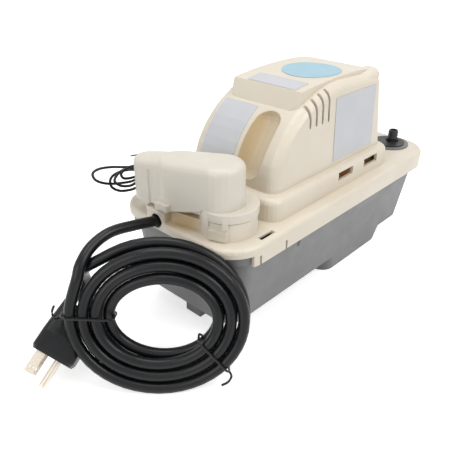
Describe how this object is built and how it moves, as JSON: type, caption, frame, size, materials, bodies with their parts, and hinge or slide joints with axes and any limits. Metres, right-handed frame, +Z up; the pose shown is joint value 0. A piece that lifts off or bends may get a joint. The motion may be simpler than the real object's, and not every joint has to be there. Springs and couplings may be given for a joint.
{
  "type": "condensate pump",
  "caption": "Tank-mounted condensate pump with a hooded motor, float switch, check valve with a hose barb, wound power cord and plug, and signal leads.",
  "frame": {"origin": "centre of the tank and cover's outline, on the surface that the tank stands on", "axes": "+Z up, +X along the length towards the discharge, the float switch and the cord at -X"},
  "size_m": [0.3944, 0.1461, 0.1735],
  "materials": {
    "cream_plastic": "satin",
    "natural_plastic": "satin",
    "grey_plastic": "satin",
    "black_plastic": "satin",
    "black_rubber": "satin",
    "steel": "brushed",
    "copper": "enamelled winding",
    "brass": "satin",
    "label_paper": "matt",
    "label_blue": "matt"
  },
  "bodies": {
    "base": {"tank": "grey_plastic", "tank_cover": "cream_plastic", "motor_cover": "cream_plastic", "switch_base": "natural_plastic", "switch_cover": "natural_plastic", "front_label": "label_paper", "side_label": "label_paper", "rating_label": "label_paper", "round_label": "label_blue", "hood_screws": "steel", "motor_posts": "steel", "stator_core": "steel", "field_coil": "copper", "lower_bracket": "steel", "upper_bracket": "steel", "bearings": "brass", "bracket_nuts": "steel", "shaft_column": "cream_plastic", "volute": "grey_plastic", "volute_plate": "grey_plastic", "volute_screws": "steel", "discharge_tube": "grey_plastic", "valve_body": "black_plastic", "valve_ring": "grey_plastic", "valve_barb": "black_plastic", "valve_seat": "black_rubber", "run_switch": "black_plastic", "alarm_switch": "black_plastic", "arm_pins": "steel", "strain_relief": "black_plastic", "power_cord": "black_rubber", "cord_coil": "black_rubber", "cord_tail": "black_rubber", "plug_body": "black_rubber", "plug_blades": "brass", "plug_pin": "brass", "cord_ties": "black_rubber", "signal_leads": "black_rubber", "lead_tips": "copper"},
    "rotor": {"motor_shaft": "steel", "rotor_core": "steel", "cooling_fan": "natural_plastic", "slinger": "black_rubber", "impeller": "natural_plastic"},
    "float": {"float_ball": "natural_plastic", "float_rod": "natural_plastic"},
    "run_lever": {"run_arm": "steel"},
    "alarm_lever": {"alarm_arm": "steel"},
    "poppet": {"valve_poppet": "natural_plastic"}
  },
  "joints": [
    {"name": "shaft_spin", "type": "hinge", "parent": "base", "child": "rotor", "pos_m": [0.036, 0, 0.115], "axis": [0, 0, 1], "continuous": true},
    {"name": "float_rise", "type": "slide", "parent": "base", "child": "float", "axis": [0, 0, 1], "range_m": [0, 0.026]},
    {"name": "run_lift", "type": "hinge", "parent": "base", "child": "run_lever", "pos_m": [-0.1108, -0.005, 0.112], "axis": [-1, 0, 0], "range_deg": [0, 12.5]},
    {"name": "alarm_lift", "type": "hinge", "parent": "base", "child": "alarm_lever", "pos_m": [-0.1164, -0.005, 0.112], "axis": [-1, 0, 0], "range_deg": [0, 8.5]},
    {"name": "poppet_lift", "type": "slide", "parent": "base", "child": "poppet", "axis": [0, 0, 1], "range_m": [0, 0.004]}
  ],
  "couplings": [
    {"joint": "run_lift", "follows": "float_rise", "rad_per_m": 8.05},
    {"joint": "alarm_lift", "follows": "float_rise", "rad_per_m": 5.37}
  ]
}
